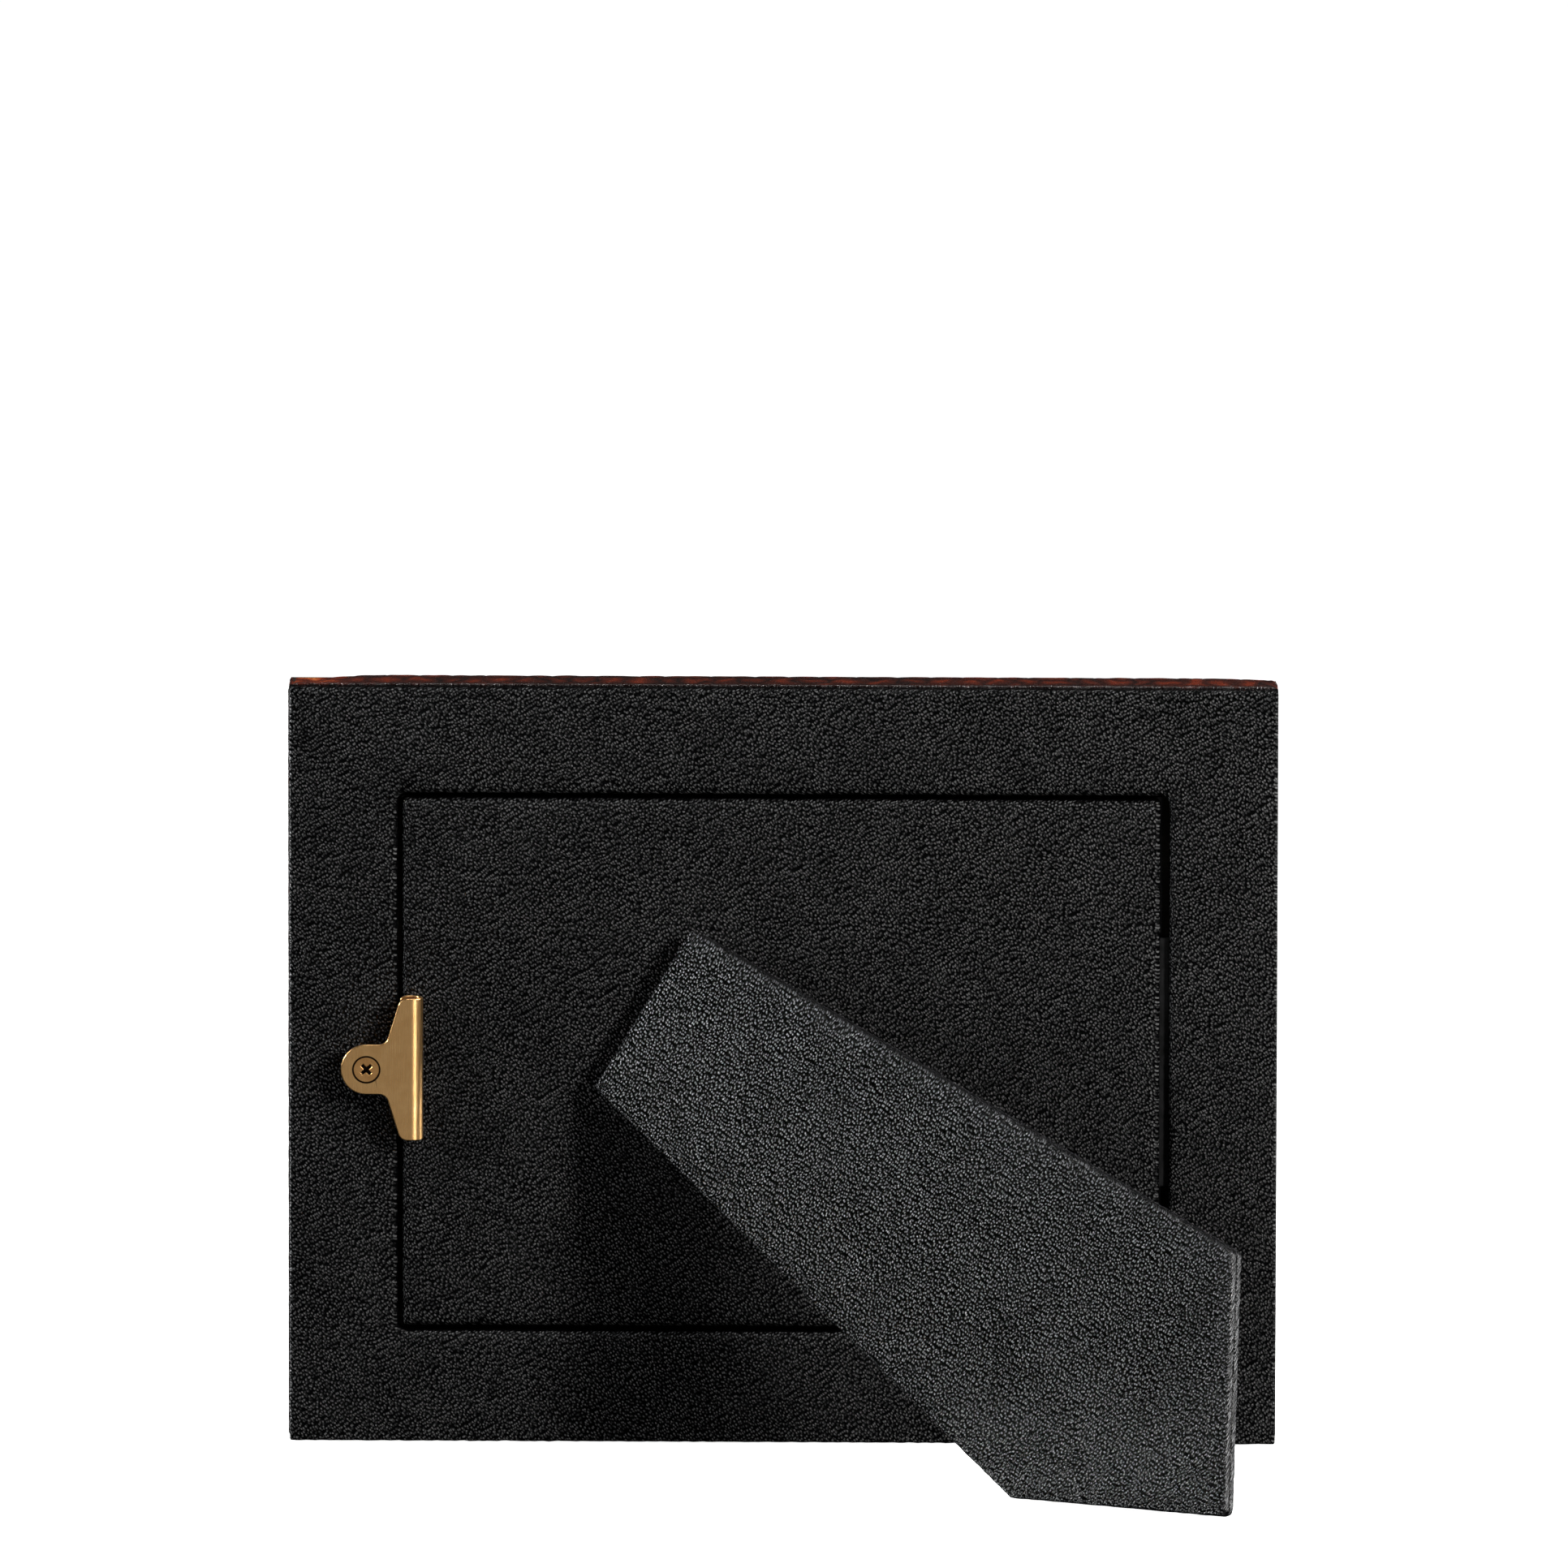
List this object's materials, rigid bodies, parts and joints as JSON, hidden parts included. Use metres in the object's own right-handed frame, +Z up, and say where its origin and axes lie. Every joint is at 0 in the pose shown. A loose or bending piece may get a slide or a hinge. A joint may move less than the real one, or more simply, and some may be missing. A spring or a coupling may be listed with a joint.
{
  "type": "photo frame",
  "caption": "Landscape picture frame in crocodile-embossed leather, with a black leatherette back, a removable backboard under a brass turn clip, and a hinged easel leg.",
  "frame": {"origin": "on the table, below the middle of the standing frame's bounding box", "axes": "+X along the width (to the left as seen from behind), the picture faces -Y, +Z up"},
  "size_m": [0.233, 0.12, 0.1836],
  "materials": {
    "croc_leather": "glossy crocodile-embossed red-brown leather",
    "leatherette": "black pebble-grain leatherette, semi-gloss",
    "fibre_board": "raw medium-density fibre board",
    "grey_board": "dense grey board",
    "glass": "clear picture glass",
    "print_paper": "plain ivory print paper",
    "card": "backing card",
    "felt": "black wool felt",
    "lining": "black suede-like lining",
    "hinge_steel": "plain steel",
    "satin_brass": "satin brushed brass",
    "screw_brass": "yellow-chromed brass"
  },
  "bodies": {
    "frame_body": {"core_rail_top": "fibre_board", "leather_top": "croc_leather", "core_rail_bottom": "fibre_board", "leather_bottom": "croc_leather", "core_rail_left": "fibre_board", "leather_left": "croc_leather", "core_rail_right": "fibre_board", "leather_right": "croc_leather", "rim_board": "grey_board", "rim_cover": "leatherette", "glass": "glass", "photo_print": "print_paper", "backing_card": "card", "pressure_pad": "felt", "tongue_rivets": "hinge_steel", "backboard_tongue": "hinge_steel", "board_rivets": "hinge_steel", "backboard_core": "grey_board", "backboard_cover": "leatherette", "backboard_lining": "lining", "hinge_board_leaf": "hinge_steel", "hinge_pin": "hinge_steel", "clip_screw": "screw_brass", "clip_spacer": "satin_brass"},
    "leg_body": {"leg_outer_board": "grey_board", "leg_outer_cover": "leatherette", "leg_inner_board": "grey_board", "leg_inner_cover": "leatherette", "hinge_leg_leaf": "hinge_steel", "leg_rivets": "hinge_steel"},
    "clip_body": {"turn_clip": "satin_brass"}
  },
  "joints": [
    {"name": "leg_hinge", "type": "hinge", "parent": "frame_body", "child": "leg_body", "pos_m": [0.0299, -0.03572, 0.10414], "axis": [-0.5105, 0.0749, 0.8566], "range_deg": [0, 31.3]},
    {"name": "clip_turn", "type": "hinge", "parent": "frame_body", "child": "clip_body", "pos_m": [0.0978, -0.03832, 0.09111], "axis": [0, 0.9962, -0.0872], "continuous": true}
  ]
}
